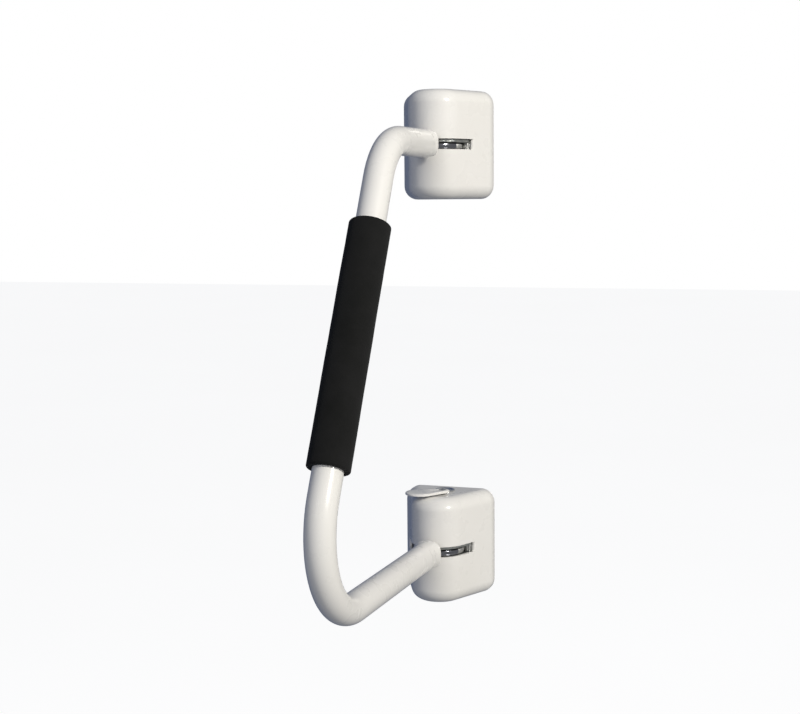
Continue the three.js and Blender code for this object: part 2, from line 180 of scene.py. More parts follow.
# %% White powder coat
def make_powder_coat():
    material, tree, surface, place = new_material(
        "gloss_powder_coat", Metallic=0.0, IOR=1.5, Specular_IOR_Level=0.3, Coat_Weight=0.55,
        Coat_Roughness=0.07)
    cloud = grain(tree, place, 60.0, 2.0).outputs[0]
    tree.links.new(between(tree, cloud, srgb("#E9E7E2"), srgb("#ECEAE6")), surface.inputs["Base Color"])
    haze = grain(tree, place, 18.0, 3.0).outputs[0]
    tree.links.new(spread(tree, haze, 0.26, 0.3), surface.inputs["Roughness"])
    bump(tree, surface, grain(tree, place, 3.5, 1.0).outputs[0], 0.003, 0.5)
    return material


POWDER_COAT = make_powder_coat()
print("made", POWDER_COAT.name)

# %% [markdown]
# ## Closed-cell foam
# The grip is a sleeve of black nitrile foam. Its skin is matt and shows the cells as a fine pebble about
# half a millimetre across. Here they are drawn a little coarser, so that they still show from a distance.
# Worn patches are greyer where the foam has been squeezed and dusted.

# %% Black foam
def make_foam():
    material, tree, surface, place = new_material(
        "closed_cell_nitrile_foam", Metallic=0.0, IOR=1.45, Roughness=0.9,
        Sheen_Weight=0.04, Sheen_Roughness=0.6, Specular_IOR_Level=0.2)
    cells = node(tree, "ShaderNodeTexVoronoi", {"feature": "F1"},
                 {"Vector": place, "Scale": per_metre(0.9), "Randomness": 1.0})
    wear = grain(tree, place, 26.0, 5.0, 0.65).outputs[0]
    tree.links.new(between(tree, wear, srgb("#0E0F0E"), srgb("#171717")), surface.inputs["Base Color"])
    skin = bump(tree, surface, cells.outputs["Distance"], 0.12, 0.6)
    bump(tree, surface, grain(tree, place, 3.2, 4.0, 0.6).outputs[0], 0.15, 0.5, skin)
    return material


FOAM = make_foam()
print("made", FOAM.name)

# %% [markdown]
# ## Bright metals
# Chrome plate is a mirror with a slight blue cast, scuffed by hair-fine scratches that run round a turned
# part. The hub plates are given a darker plate colour on their front edge, a painted shade for the dark
# reflection there, and a bright satin one on the knurl behind it. Zinc plate is duller and cloudy, with a
# faint mottle where the plating crystals differ.

# %% Chrome plates
def make_chrome(name, dull, bright, smooth, rough):
    material, tree, surface, place = new_material(name, Metallic=1.0)
    smear = grain(tree, place, 6.0, 4.0).outputs[0]
    tree.links.new(between(tree, smear, srgb(dull), srgb(bright)), surface.inputs["Base Color"])
    tree.links.new(spread(tree, smear, smooth, rough), surface.inputs["Roughness"])
    rings = node(tree, "ShaderNodeMapping", inputs={"Vector": place, "Scale": (1.0, 1.0, 18.0)})
    bump(tree, surface, grain(tree, rings.outputs[0], 4.0, 3.0).outputs[0], 0.01, 0.35)
    return material


KNURL_FROM, KNURL_FULL = -0.0495, -0.0480      # places along Y, where the knurl's first rib begins and ends


def make_hub_chrome_with_painted_shade():
    """Painted shade: a darker plate colour in front of the knurl's first rib, plain satin chrome behind it."""
    material, tree, surface, place = new_material("half_knurled_chrome_painted_shade", Metallic=1.0)
    behind = node(tree, "ShaderNodeMapRange", inputs={
        "Value": node(tree, "ShaderNodeSeparateXYZ", inputs={0: place}).outputs[1],
        "From Min": KNURL_FROM, "From Max": KNURL_FULL, "To Min": 0.0, "To Max": 1.0}).outputs[0]
    # Painted shade: the plate colour is darker in front of the knurl, standing in for the dark reflection
    # there; behind it is plain satin chrome.
    plate = between(tree, behind, srgb("#85868C"), srgb("#B9B9B6"), 0.0, 1.0)
    tree.links.new(plate, surface.inputs["Base Color"])
    smear = grain(tree, place, 6.0, 4.0).outputs[0]
    satin = node(tree, "ShaderNodeMath", {"operation": "MULTIPLY_ADD"}, {0: behind, 1: 0.3, 2: 0.1})
    uneven = node(tree, "ShaderNodeMath", {"operation": "MULTIPLY_ADD"},
                  {0: smear, 1: 0.1, 2: satin.outputs[0]})
    tree.links.new(uneven.outputs[0], surface.inputs["Roughness"])
    return material


CHROME = make_chrome("chrome_plate", "#C9CCD0", "#DEE0E1", 0.07, 0.19)
SATIN = make_chrome("satin_chrome_plate", "#C2C2C0", "#D2D2CF", 0.36, 0.46)
HUB_CHROME = make_hub_chrome_with_painted_shade()
print("made", CHROME.name, SATIN.name, "and", HUB_CHROME.name)


# %% Zinc plate
def make_zinc():
    material, tree, surface, place = new_material("bright_zinc_plate", Metallic=1.0)
    cloud = grain(tree, place, 5.0, 5.0, 0.65).outputs[0]
    tree.links.new(between(tree, cloud, srgb("#9EA3A4"), srgb("#C2C3BC")), surface.inputs["Base Color"])
    tree.links.new(spread(tree, cloud, 0.28, 0.46), surface.inputs["Roughness"])
    bump(tree, surface, grain(tree, place, 0.8, 3.0).outputs[0], 0.01, 0.5)
    return material


ZINC = make_zinc()
print("made", ZINC.name)

# %% [markdown]
# ## Nylon and rubber
# The bushes are turned from natural nylon, which is milky and lets a little light in. Each housing sits
# on a sheet of black rubber that keeps rain out of the wall; its surface carries the fine print of the
# cloth that it was cured on.

# %% Natural nylon
def make_nylon():
    material, tree, surface, place = new_material(
        "natural_nylon", Metallic=0.0, IOR=1.53, Subsurface_Weight=0.2,
        Subsurface_Scale=0.004, Subsurface_Radius=(1.0, 0.9, 0.7))
    drift = grain(tree, place, 7.0).outputs[0]
    tree.links.new(between(tree, drift, srgb("#DAD5C6"), srgb("#E8E4D8")), surface.inputs["Base Color"])
    tree.links.new(spread(tree, drift, 0.38, 0.5), surface.inputs["Roughness"])
    bump(tree, surface, grain(tree, place, 0.6).outputs[0], 0.01, 0.4)
    return material


NYLON = make_nylon()
print("made", NYLON.name)


# %% Sheet rubber
def make_rubber():
    material, tree, surface, place = new_material(
        "cloth_cured_sheet_rubber", Metallic=0.0, IOR=1.5, Specular_IOR_Level=0.3)
    bloom = grain(tree, place, 14.0, 5.0, 0.6).outputs[0]
    tree.links.new(between(tree, bloom, srgb("#1F1F20"), srgb("#343433")), surface.inputs["Base Color"])
    tree.links.new(spread(tree, bloom, 0.62, 0.8), surface.inputs["Roughness"])
    across = node(tree, "ShaderNodeTexWave", {"bands_direction": "X"},
                  {"Vector": place, "Scale": per_metre(1.2) / 6.28})
    along = node(tree, "ShaderNodeTexWave", {"bands_direction": "Z"},
                 {"Vector": place, "Scale": per_metre(1.2) / 6.28})
    first = bump(tree, surface, across.outputs["Fac"], 0.04, 0.5)
    bump(tree, surface, along.outputs["Fac"], 0.04, 0.5, first)
    return material


RUBBER = make_rubber()
print("made", RUBBER.name)

# %% [markdown]
# ## Sizes from the frame
# Many places come from the loaded parts. The swing joint gives the pivot axis, the housings' boxes give
# their height, width and depth, and the tube's own width gives its radius. What a box cannot tell, such
# as fillets, bends, the wall, the slot and the rail's corners, is named here.

# %% Read the sizes
PIVOT = next(joint for joint in frame["joints"] if joint["name"] == "handle_swing")["pos_m"]
PIVOT_Y = PIVOT[1]
HOUSING_LOW, HOUSING_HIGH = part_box("lower_housing")
HALF_WIDTH, HALF_HEIGHT = HOUSING_HIGH[0], (HOUSING_HIGH[2] - HOUSING_LOW[2]) / 2
REAR = HOUSING_HIGH[1]
NOSE = PIVOT_Y - HOUSING_LOW[1]
UPPER_Z = (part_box("upper_housing")[0][2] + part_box("upper_housing")[1][2]) / 2
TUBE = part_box("handle_tube")[1][0]
LOCK_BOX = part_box("lock_body")
LOCK_Y = (LOCK_BOX[0][1] + LOCK_BOX[1][1]) / 2
LOCK_TOP = LOCK_BOX[1][2]
SWIVEL = next(joint for joint in frame["joints"] if joint["name"] == "cover_swivel")["pos_m"]

FILLET, SIDE_DEPTH, WALL, SHOULDER = 12.5 * MM, 8.5 * MM, 2.5 * MM, 14 * MM
SLOT_HALF, SLOT_OUTER_Y, SLOT_INNER_Y = 4.7 * MM, -30 * MM, -31.9 * MM
UPPER_OUT, LOWER_OUT, UPPER_BEND, LOWER_BEND = 139 * MM, 335.5 * MM, 60 * MM, 68.5 * MM
TUBE_END = 44 * MM
print("nose", round(NOSE / MM, 2), "tube radius", round(TUBE / MM, 2), "pivots apart", round(UPPER_Z / MM, 1))

# %% [markdown]
# ## Skins from rings
# Most of these parts are stacks of outlines: a housing is a D drawn smaller and smaller towards its top,
# and a turned part is a circle whose radius follows a profile. One function joins a list of rings into
# a skin, and another turns that skin into a finished object with smooth shading and crisp corners.

# %% Mesh helpers
SMOOTH_ANGLE = math.radians(32)


def skin(rings, closed=True, caps=True, loop=False):
    """Points and faces of a skin over rings of equal length. loop joins the last ring to the first."""
    count = len(rings[0])
    points = [point for ring in rings for point in ring]
    faces = []
    spans = len(rings) if loop else len(rings) - 1
    for i in range(spans):
        low, high = i * count, (i + 1) % len(rings) * count
        for k in range(count if closed else count - 1):
            nxt = (k + 1) % count
            faces.append((low + k, low + nxt, high + nxt, high + k))
    if caps and not loop:
        faces.append(tuple(reversed(range(count))))
        faces.append(tuple(range(len(points) - count, len(points))))
    return points, faces


def build(name, points, faces, material):
    """A linked object from points and faces, with its normals made to point out."""
    mesh = bpy.data.meshes.new(name)
    mesh.from_pydata([tuple(point) for point in points], [], faces)
    work = bmesh.new()
    work.from_mesh(mesh)
    bmesh.ops.recalc_face_normals(work, faces=work.faces)
    work.to_mesh(mesh)
    work.free()
    mesh.materials.append(material)
    made = bpy.data.objects.new(name, mesh)
    bpy.context.scene.collection.objects.link(made)
    return made


def shade(made, angle=SMOOTH_ANGLE):
    made.data.shade_smooth()
    made.data.set_sharp_from_angle(angle=angle)
    return made


def bake_modifiers(made):
    """Replaces an object's mesh by the result of its modifiers, and takes the modifiers away."""
    graph = bpy.context.evaluated_depsgraph_get()
    mesh = bpy.data.meshes.new_from_object(made.evaluated_get(graph))
    made.modifiers.clear()
    made.data = mesh
    return made


def settle(made, angle=SMOOTH_ANGLE):
    return shade(bake_modifiers(made), angle)


def even_shading(made, angle=SMOOTH_ANGLE):
    """Lets the large faces decide how light falls, so that cut holes leave no smears round them."""
    shade(made, angle)
    weighted = made.modifiers.new("even", "WEIGHTED_NORMAL")
    weighted.keep_sharp, weighted.weight = True, 80
    return bake_modifiers(made)


def soften(made, width_mm, segments=3, angle=40):
    """Rounds the sharp edges, as tumbling, deburring or paint does."""
    bevel = made.modifiers.new("soften", "BEVEL")
    bevel.width, bevel.segments, bevel.limit_method = width_mm * MM, segments, "ANGLE"
    bevel.angle_limit = math.radians(angle)
    bevel.harden_normals = True
    return made


def circle(radius, centre, z, count=96):
    turns = [2 * math.pi * k / count for k in range(count)]
    return [(centre[0] + radius * math.cos(a), centre[1] + radius * math.sin(a), z) for a in turns]


def turned(name, profile, centre, material, count=96):
    """A turned part about an upright line: profile is a list of radius and height in mm."""
    rings = [circle(r * MM, centre, z * MM, count) for r, z in profile]
    return shade(build(name, *skin(rings), material))


def turned_ring(name, profile, centre, material, count=96):
    """A turned part with a bore: the profile is closed."""
    rings = [circle(r * MM, centre, z * MM, count) for r, z in profile]
    return shade(build(name, *skin(rings, loop=True), material))


def carve(made, cutter):
    """Cuts one closed object out of another and removes the cutter."""
    cut = made.modifiers.new("carve", "BOOLEAN")
    cut.operation, cut.solver, cut.object = "DIFFERENCE", "EXACT", cutter
    settle(made)
    bpy.data.objects.remove(cutter)
    return made


def stands_for(piece, body, slot, *nodes):
    """Says what a finished piece moves with and which plain parts it replaces; slot, the finish's name, is not
    used.
    """
    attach(piece, body)
    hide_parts(*nodes)
    faces = sum(len(face.vertices) - 2 for face in piece.data.polygons)
    print(piece.name, "rides on", body, "with", faces, "triangles")


# %% [markdown]
# ## The housings
# A housing is a thin shell with a D-shaped plan: a straight back, two short sides, flanks that lean in
# and a round nose with the pivot at its centre. Top and bottom edges are rolled over in a quarter circle.
# Drawing the same plan with a growing inset at each height makes that roll exactly, because every corner
# of the plan is an arc whose radius simply shrinks. A Solidify modifier then gives the wall its thickness.

# %% Plan of a housing
LEAN = math.atan2(-PIVOT_Y - SIDE_DEPTH, HALF_WIDTH)
LEAN -= math.acos(NOSE / math.hypot(HALF_WIDTH, -PIVOT_Y - SIDE_DEPTH))      # negative: the flank's normal
NOSE_STEPS, SHOULDER_STEPS = 20, 6


def spoke(centre, radius, angle):
    return centre[0] + radius * math.cos(angle), centre[1] + radius * math.sin(angle)


def shoulder_centre():
    """Centre of the arc between side and flank, one shoulder radius inside both."""
    x = HALF_WIDTH - SHOULDER
    y = (NOSE - SHOULDER - x * math.cos(LEAN)) / math.sin(LEAN) + PIVOT_Y
    return x, y


COLUMNS = [SLOT_OUTER_Y + 8 * MM, SLOT_OUTER_Y + 3.5 * MM, SLOT_INNER_Y - 4.6 * MM, SLOT_INNER_Y - 9 * MM]


def half_plan(inset):
    """Right half of the plan, from the back to the middle of the nose. The flank's columns stay some
    millimetres clear of the slot's end, because a cut that runs along one leaves a stray face behind."""
    centre = shoulder_centre()
    points = [(HALF_WIDTH - inset, REAR)]
    points += [spoke(centre, SHOULDER - inset, LEAN * k / SHOULDER_STEPS)
               for k in range(SHOULDER_STEPS + 1)]
    start, end = points[-1], spoke((0, PIVOT_Y), NOSE - inset, LEAN)
    full_start, full_end = spoke(centre, SHOULDER, LEAN), spoke((0, PIVOT_Y), NOSE, LEAN)
    reach = full_start[1] - full_end[1]
    for stop in COLUMNS:
        share = (full_start[1] - stop) / reach
        points.append(tuple(a + (b - a) * share for a, b in zip(start, end)))
    sweep = -math.pi / 2 - LEAN
    points += [spoke((0, PIVOT_Y), NOSE - inset, LEAN + sweep * k / NOSE_STEPS)
               for k in range(NOSE_STEPS + 1)]
    return points


def plan(inset):
    right = half_plan(inset)
    return right + [(-x, y) for x, y in reversed(right[:-1])]


def flank_x(inset, y):
    """Where the flank, drawn in by inset, is at a given distance from the wall."""
    return (NOSE - inset - (y - PIVOT_Y) * math.sin(LEAN)) / math.cos(LEAN)


print("plan has", len(plan(0)), "points")


# %% [markdown]
# The shell is closed at first. The arm's slot is then milled round the nose from flank to flank with one
# flat cutter. Its ends are quarter circles, so that the wall's thickness shows at each end as a lip that
# runs from dark to bright. The lock's hole and the countersunk screw holes are drilled the same way. A
# bevel rounds every edge as thick paint does, so that it catches the light.

# %% Cutters
def drill(holes):
    """One cutter made of upright turned plugs: each hole is x, y and a list of radius and height."""
    points, faces = [], []
    for x, y, profile in holes:
        plug_points, plug_faces = skin([circle(radius, (x, y), z, 48) for radius, z in profile])
        faces += [tuple(i + len(points) for i in face) for face in plug_faces]
        points += plug_points
    return build("drill", points, faces, POWDER_COAT)


def slot_cutter(middle):
    """Flat cutter whose ends are quarter circles that start along the flank and end across the wall."""
    far, steps = 60 * MM, 6
    along, across = Vector((-math.sin(LEAN), math.cos(LEAN))), Vector((math.cos(LEAN), math.sin(LEAN)))
    centre = Vector((flank_x(WALL, SLOT_INNER_Y), SLOT_INNER_Y)) + along * WALL
    arc = [centre + across * WALL * math.cos(a) - along * WALL * math.sin(a)
           for a in [math.pi / 2 * k / steps for k in range(steps + 1)]]
    lead = arc[0] + across * 0.5 * MM
    right = [(far, -2 * far), (far, lead.y), tuple(lead)] + [tuple(point) for point in arc]
    right.append(tuple(arc[-1] - across * MM))
    outline = right + [(-x, y) for x, y in reversed(right)]
    return build("slot", *skin([[(x, y, middle + z) for x, y in outline] for z in (-SLOT_HALF, SLOT_HALF)]),
                 POWDER_COAT)


def screw_places(which):
    """Middle of the two screws under a housing."""
    boxes = [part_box(f"{which}_screw_{side}") for side in ("left", "right")]
    return [((low[0] + high[0]) / 2, (low[1] + high[1]) / 2) for low, high in boxes]


def countersinks(which, bottom):
    """Holes that widen downwards, so that each screw's head lies flush."""
    profile = [(4.9 * MM, bottom - MM), (2.2 * MM, bottom + 2.1 * MM), (2.2 * MM, bottom + 2 * WALL)]
    return drill([(x, y, profile) for x, y in screw_places(which)])


def lock_holes(top):
    return drill([(x, y, [(radius, top - 2 * WALL), (radius, top + WALL)])
                  for x, y, radius in ((0.0, LOCK_Y, 8.8 * MM), (SWIVEL[0], SWIVEL[1], 2.3 * MM))])


# %% Build a housing
def heights():
    """Heights and insets up the shell: rolled edge, straight wall, rolled edge. The rows beside the slot
    keep the faces that it cuts small."""
    steps = 10
    roll = [math.pi / 2 * k / steps for k in range(steps + 1)]
    lower = [(-HALF_HEIGHT + FILLET * (1 - math.sin(a)), FILLET * (1 - math.cos(a))) for a in reversed(roll)]
    beside = [(z * MM, 0.0) for z in (-20, -6.2, 6.2, 20)]
    return lower + beside + [(-z, inset) for z, inset in reversed(lower)]


def make_housing(which, middle, has_lock):
    rings = [[(x, y, middle + z) for x, y in plan(inset)] for z, inset in heights()]
    shell = build(f"{which}_housing_shell", *skin(rings, closed=False), POWDER_COAT)
    wall = shell.modifiers.new("wall", "SOLIDIFY")
    wall.thickness, wall.offset, wall.use_even_offset = WALL, -1.0, True
    settle(shell)
    carve(shell, slot_cutter(middle))
    carve(shell, countersinks(which, middle - HALF_HEIGHT))
    if has_lock:
        carve(shell, lock_holes(middle + HALF_HEIGHT))
    return even_shading(bake_modifiers(soften(shell, 0.6, 3, 50)))


for which, middle, has_lock in (("upper", UPPER_Z, False), ("lower", 0.0, True)):
    stands_for(make_housing(which, middle, has_lock), "wall_unit", "white_paint", f"{which}_housing")

# %% [markdown]
# ## The bent tube
# The rail is one length of 25 mm tube, bent twice on a mandrel. Its centre line is four straight points
# with the two inner corners rounded, each to its own bend radius. Geometry Nodes do this as a bender
# would: draw the corners, fillet them, then sweep a round section along the line.

# %% Tree that bends a tube
def bend_tree():
    tree = bpy.data.node_groups.new("bent_tube", "GeometryNodeTree")
    sockets = {"Geometry": "NodeSocketGeometry", "Radius": "NodeSocketFloat", "Upper bend": "NodeSocketFloat",
               "Lower bend": "NodeSocketFloat", "Bend steps": "NodeSocketInt", "Section steps": "NodeSocketInt",
               "Finish": "NodeSocketMaterial"}
    for name, kind in sockets.items():
        tree.interface.new_socket(name, in_out="INPUT", socket_type=kind)
    tree.interface.new_socket("Geometry", in_out="OUTPUT", socket_type="NodeSocketGeometry")
    given = node(tree, "NodeGroupInput").outputs
    line = node(tree, "GeometryNodeMeshToCurve", inputs={"Mesh": given["Geometry"]})
    is_upper = node(tree, "FunctionNodeCompare", {"data_type": "INT", "operation": "LESS_EQUAL"},
                    {2: node(tree, "GeometryNodeInputIndex").outputs[0], 3: 1})
    radius = node(tree, "GeometryNodeSwitch", {"input_type": "FLOAT"}, {
        "Switch": is_upper.outputs[0], "False": given["Lower bend"], "True": given["Upper bend"]})
    bent = node(tree, "GeometryNodeFilletCurve", {"mode": "POLY"}, {
        "Curve": line.outputs[0], "Radius": radius.outputs[0], "Count": given["Bend steps"]})
    section = node(tree, "GeometryNodeCurvePrimitiveCircle", {"mode": "RADIUS"}, {
        "Resolution": given["Section steps"], "Radius": given["Radius"]})
    swept = node(tree, "GeometryNodeCurveToMesh", inputs={
        "Curve": bent.outputs[0], "Profile Curve": section.outputs[0], "Fill Caps": True})
    real = node(tree, "GeometryNodeRealizeInstances", inputs={0: swept.outputs[0]})
    dressed = node(tree, "GeometryNodeSetMaterial", inputs={
        "Geometry": real.outputs[0], "Material": given["Finish"]})
    node(tree, "NodeGroupOutput", inputs={"Geometry": dressed.outputs[0]})
    return tree


def run_tree(made, tree, values):
    """Adds the tree as a modifier, fills its named inputs and settles the result."""
    modifier = made.modifiers.new(tree.name, "NODES")
    modifier.node_group = tree
    for item in tree.interface.items_tree:
        if item.in_out == "INPUT" and item.name in values:
            modifier[item.identifier] = values[item.name]
    return settle(made)


def in_plane(out, z):
    """A point of the rail's plane, from its distance out from the pivot and its height."""
    return Vector((0, PIVOT_Y - out, z))


CORNERS = [in_plane(TUBE_END, UPPER_Z), in_plane(UPPER_OUT, UPPER_Z),
           in_plane(LOWER_OUT, 0), in_plane(TUBE_END, 0)]


def make_tube():
    mesh = bpy.data.meshes.new("rail_line")
    mesh.from_pydata([tuple(corner) for corner in CORNERS], [(0, 1), (1, 2), (2, 3)], [])
    made = bpy.data.objects.new("painted_rail_tube", mesh)
    bpy.context.scene.collection.objects.link(made)
    run_tree(made, bend_tree(), {"Radius": TUBE, "Upper bend": UPPER_BEND, "Lower bend": LOWER_BEND,
                                 "Bend steps": 40, "Section steps": 72, "Finish": POWDER_COAT})
    return made


TUBE_PIECE = make_tube()
stands_for(TUBE_PIECE, "handle", "white_paint", "handle_tube")

# %% [markdown]
# ## Blunt tube ends and hub plates
# Each end of the tube runs into a cap that swells from round to a soft square and ends in a blunt face.
# That face is swept back to both sides, so that the rail clears the housing's flank when it is folded.
# A flat tongue comes out of the cap, through the slot, and widens to a chrome disc that turns on the
# pivot pin. A bead of weld under the paint joins tongue and cap.

# %% End caps with their weld beads
HUB_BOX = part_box("lower_hub")
HUB_LOW, HUB_TOP = HUB_BOX[0][2], HUB_BOX[1][2]
TONGUE_HALF = 7 * MM
CAP_FACE, CAP_FLARE, CAP_HALF_WIDTH, CAP_HALF_HEIGHT = 29.5, 0.44, 13.5, 12.0      # mm, but flare is a slope


def cap_ring(half_width, half_height, power, out, flare, middle, count=160):
    """A ring between an ellipse (power 2) and a soft square; out is its distance from the pivot in mm."""
    ring = []
    for k in range(count):
        angle = 2 * math.pi * k / count
        x, z = (size * math.copysign(abs(value) ** (2 / power), value)
                for size, value in ((half_width, math.cos(angle)), (half_height, math.sin(angle))))
        ring.append((x * MM, PIVOT_Y - (out + flare * abs(x)) * MM, middle + z * MM))
    return ring


def make_cap(which, middle):
    radius, seat, steps, edge = TUBE / MM, TUBE_END / MM, 26, 1.6
    rings = []
    for k in range(steps + 1):
        share = k / steps
        ease = share * share * (3 - 2 * share)
        half_width = radius + (CAP_HALF_WIDTH - radius) * ease
        half_height = radius + (CAP_HALF_HEIGHT - radius) * ease
        rings.append(cap_ring(half_width, half_height, 2 + ease,
                              seat + (CAP_FACE + edge - seat) * share, CAP_FLARE * share, middle))
    for k in range(1, 7):
        lost, gone = edge * (1 - math.cos(math.pi / 12 * k)), edge * math.sin(math.pi / 12 * k)
        rings.append(cap_ring(CAP_HALF_WIDTH - lost, CAP_HALF_HEIGHT - lost, 3, CAP_FACE + edge - gone,
                              CAP_FLARE, middle))
    for scale in (0.85, 0.6, 0.3):
        rings.append(cap_ring((CAP_HALF_WIDTH - edge) * scale, (CAP_HALF_HEIGHT - edge) * scale, 3, CAP_FACE,
                              CAP_FLARE, middle))
    return shade(build(f"{which}_tube_end", *skin(rings), POWDER_COAT), math.radians(50))


def rounded_slab(half_x, low, high, radius, count=8):
    """Outline of a slab's section in X and Z with round corners."""
    corners = [(half_x, low, -90), (half_x, high, 0), (-half_x, high, 90), (-half_x, low, 180)]
    outline = []
    for x, z, start in corners:
        cx, cz = x - math.copysign(radius, x), (z + radius if z == low else z - radius)
        outline += [(cx + radius * math.cos(math.radians(start + 90 * k / count)),
                     cz + radius * math.sin(math.radians(start + 90 * k / count))) for k in range(count + 1)]
    return outline


def make_weld(which, middle):
    """A small rippled bead round the tongue where it enters the cap."""
    path = rounded_slab(TONGUE_HALF + 0.1 * MM, HUB_LOW - 0.1 * MM, HUB_TOP + 0.1 * MM, 1.4 * MM)
    centre_z = (HUB_LOW + HUB_TOP) / 2
    rings = []
    for k, (x, z) in enumerate(path):
        out = Vector((x, 0, z - centre_z)).normalized()
        bead = (0.6 + 0.06 * math.sin(2.1 * k)) * MM
        base = Vector((x, PIVOT_Y - (CAP_FACE + 0.4) * MM - CAP_FLARE * abs(x), middle + z))
        rings.append([tuple(base + out * bead * math.cos(a) + Vector((0, bead * math.sin(a), 0)))
                      for a in [2 * math.pi * j / 10 for j in range(10)]])
    return shade(build(f"{which}_weld_bead", *skin(rings, loop=True), POWDER_COAT), math.radians(80))


for which, middle in (("upper", UPPER_Z), ("lower", 0.0)):
    stands_for(make_cap(which, middle), "handle", "white_paint", f"{which}_end_cap")
    bead = make_weld(which, middle)
    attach(bead, "handle")


# %% Hub plates
DISC_RADIUS, KNURL_DEPTH, RIB_STEPS = 23.3, 0.5, 6      # mm, mm and points along one rib
POLISHED_HALF = math.radians(68)                        # the edge is plain this far from the tongue


def edge_reach(radius, k, count):
    """Radius of the disc at step k of count: plain near the tongue, with a straight knurl behind."""
    angle = 2 * math.pi * k / count
    from_tongue = abs((angle + math.pi / 2 + math.pi) % (2 * math.pi) - math.pi)
    if radius < DISC_RADIUS - 1 or from_tongue < POLISHED_HALF:
        return radius
    return radius - KNURL_DEPTH * (0.5 - 0.5 * math.cos(angle * count / RIB_STEPS))


def make_hub(which, middle):
    edge, count, bore = 0.5, 360, 6.2
    low, high = HUB_LOW / MM, HUB_TOP / MM
    rim, shy = DISC_RADIUS, edge * 0.3
    profile = [(bore, low), (rim - edge, low), (rim - shy, low + shy), (rim, low + edge),
               (rim, high - edge), (rim - shy, high - shy), (rim - edge, high), (bore, high)]
    rings = []
    for radius, z in profile:
        reach = [edge_reach(radius, k, count) * MM for k in range(count)]
        turns = [2 * math.pi * k / count for k in range(count)]
        rings.append([(r * math.cos(a), PIVOT_Y + r * math.sin(a), middle + z * MM)
                      for a, r in zip(turns, reach)])
    hub = build(f"{which}_hub_plate", *skin(rings, loop=True), HUB_CHROME)
    section = rounded_slab(TONGUE_HALF, HUB_LOW, HUB_TOP, 0.5 * MM, 4)
    ends = (PIVOT_Y - 22 * MM, PIVOT_Y - 40 * MM)
    tongue = build("tongue", *skin([[(x, y, middle + z) for x, z in section] for y in ends]), HUB_CHROME)
    join = hub.modifiers.new("join", "BOOLEAN")
    join.operation, join.solver, join.object = "UNION", "EXACT", tongue
    settle(hub)
    bpy.data.objects.remove(tongue)
    return hub


for which, middle in (("upper", UPPER_Z), ("lower", 0.0)):
    hub = make_hub(which, middle)
    if which == "lower":
        reach = 18 * MM
        spots = [(0, PIVOT_Y + reach), (reach, PIVOT_Y), (-reach, PIVOT_Y)]
        bolt_hole = [(3.5 * MM, HUB_LOW - MM), (3.5 * MM, HUB_TOP + MM)]
        carve(hub, drill([(x, y, bolt_hole) for x, y in spots]))
    stands_for(hub, "handle", "chrome", f"{which}_hub")

# %% [markdown]
# ## The foam grip
# The sleeve is pushed on over the straight part while it is wet with soap, and it dries in place. Foam
# is never quite round: it bulges a little in the middle of its length, its cut ends are slightly puckered,
# and its skin is uneven. All of that is small, so it is put straight into the mesh with a smooth noise.

# %% Foam sleeve
def straight_run():
    """Start and direction of the straight between the bends."""
    before, after = (CORNERS[0] - CORNERS[1]).normalized(), (CORNERS[2] - CORNERS[1]).normalized()
    turn = math.pi - before.angle(after)
    return CORNERS[1] + after * UPPER_BEND * math.tan(turn / 2), after


GRIP_START, GRIP_LENGTH, GRIP_RADIUS, GRIP_BORE = 42.3 * MM, 208 * MM, 17.5 * MM, 12.8 * MM
LONG_WAVE, SHORT_WAVE = 28, 110                         # waves to the metre
LONG_SWELL, SHORT_SWELL, SHRINK = 0.16, 0.07, 0.1       # mm; the shrink keeps the swell inside its size


def grip_profile():
    """Radius and distance along, from the bore at one end round to the bore at the other."""
    steps, round_mm = 90, 1.6 * MM
    ends = [(GRIP_BORE, 1.2 * MM), (GRIP_BORE + 0.6 * MM, 0.15 * MM), (GRIP_RADIUS - 2.6 * MM, 0.1 * MM)]
    ends += [(GRIP_RADIUS - round_mm * (1 - math.sin(a)), round_mm * (1 - math.cos(a)) + 0.1 * MM)
             for a in (0.25, 0.6, 0.95, 1.3, math.pi / 2)]
    middle = []
    for k in range(1, steps):
        share = k / steps
        middle.append((GRIP_RADIUS, 4 * MM + share * (GRIP_LENGTH - 8 * MM)))
    return ends + middle + [(r, GRIP_LENGTH - s) for r, s in reversed(ends)]


def make_grip():
    start, along = straight_run()
    side = Vector((1, 0, 0))
    up = along.cross(side)
    origin = start + along * GRIP_START
    rings, sides = [], 96
    for radius, s in grip_profile():
        ring = []
        for k in range(sides):
            out = side * math.cos(2 * math.pi * k / sides) + up * math.sin(2 * math.pi * k / sides)
            point = origin + along * s + out * radius
            swell = (noise.noise(point * LONG_WAVE) * LONG_SWELL + noise.noise(point * SHORT_WAVE) * SHORT_SWELL
                     - SHRINK)
            is_skin = (radius - GRIP_BORE) / (GRIP_RADIUS - GRIP_BORE)
            ring.append(point + out * swell * MM * is_skin)
        rings.append(ring)
    return shade(build("foam_grip_sleeve", *skin(rings, loop=True), FOAM), math.radians(60))


GRIP = make_grip()
stands_for(GRIP, "handle", "foam", "foam_grip")

# %% [markdown]
# ## The lock and its swivel cover
# On top of the lower housing a chrome barrel carries the key slot. A painted cover, shaped like a drop,
# swings over it on one sunk, flat-headed screw and keeps rain out. Here it is swung open to the front.
# Its top
# is slightly crowned and its edge is rolled, which gives the bright line along the front.

